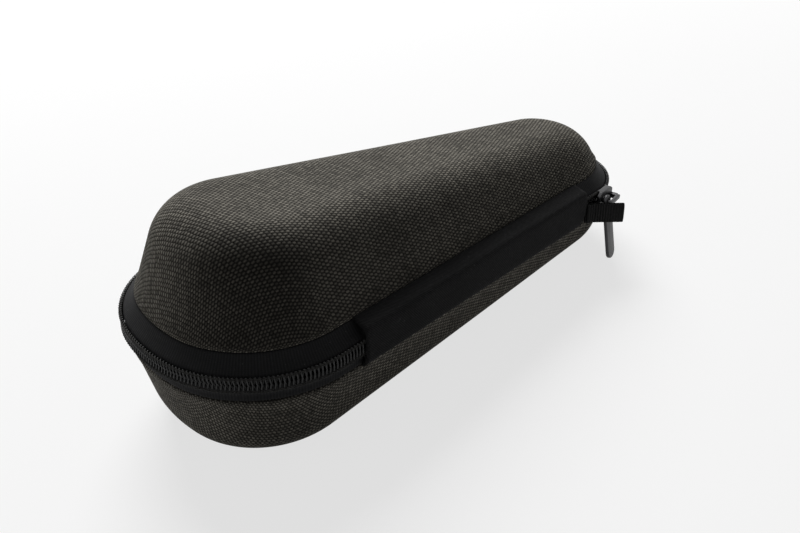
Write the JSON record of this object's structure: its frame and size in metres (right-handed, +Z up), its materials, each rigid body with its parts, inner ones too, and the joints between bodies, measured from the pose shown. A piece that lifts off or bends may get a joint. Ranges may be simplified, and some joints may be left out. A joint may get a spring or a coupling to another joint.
{
  "type": "electric shaver hard case",
  "caption": "Zipped hard travel case for an electric shaver: two moulded foam halves covered in woven cloth, with a cloth hinge, a coil zip, its slider and puller, and a pull tab.",
  "frame": {"origin": "centre of the base's flat floor, on the surface that the case rests on, at the middle of its length", "axes": "+Z up; +X along the length, towards the narrow end; -Y towards the cloth hinge"},
  "size_m": [0.1848, 0.0808, 0.0683],
  "materials": {
    "woven_cloth": "matte",
    "foam": "matte",
    "lining_knit": "matte",
    "binding_tape": "matte",
    "zip_tape": "matte",
    "zip_coil": "satin",
    "hinge_knit": "matte",
    "webbing": "matte",
    "slider_metal": "satin"
  },
  "bodies": {
    "base": {"base_outer_fabric": "woven_cloth", "base_foam_shell": "foam", "base_lining": "lining_knit", "base_seam_binding": "binding_tape", "base_zip_tape": "zip_tape", "base_zip_coil": "zip_coil", "hinge_gusset": "hinge_knit", "hinge_facing": "binding_tape", "pull_tab": "webbing"},
    "lid": {"lid_outer_fabric": "woven_cloth", "lid_foam_shell": "foam", "lid_lining": "lining_knit", "lid_seam_binding": "binding_tape", "lid_zip_tape": "zip_tape", "lid_zip_coil": "zip_coil"},
    "slider": {"slider_body": "slider_metal", "slider_bridge": "slider_metal"},
    "puller": {"puller": "slider_metal"}
  },
  "joints": [
    {"name": "lid_hinge", "type": "hinge", "parent": "base", "child": "lid", "pos_m": [0.00813, -0.03459, 0.02779], "axis": [0.9906, 0.1149, -0.0745], "range_deg": [0, 165], "deforming": ["hinge_gusset", "hinge_facing", "lid_zip_tape", "lid_zip_coil", "pull_tab"]},
    {"name": "slider_run", "type": "hinge", "parent": "base", "child": "slider", "pos_m": [0.06591, 0, 0.02344], "axis": [0.075, 0, 0.9972], "range_deg": [0, 146], "deforming": ["base_zip_coil", "lid_zip_coil"]},
    {"name": "puller_swing", "type": "hinge", "parent": "slider", "child": "puller", "pos_m": [0.07136, -0.02887, 0.02303], "axis": [0.2666, -0.954, 0.1368], "range_deg": [-90, 45], "deforming": ["pull_tab"]}
  ]
}
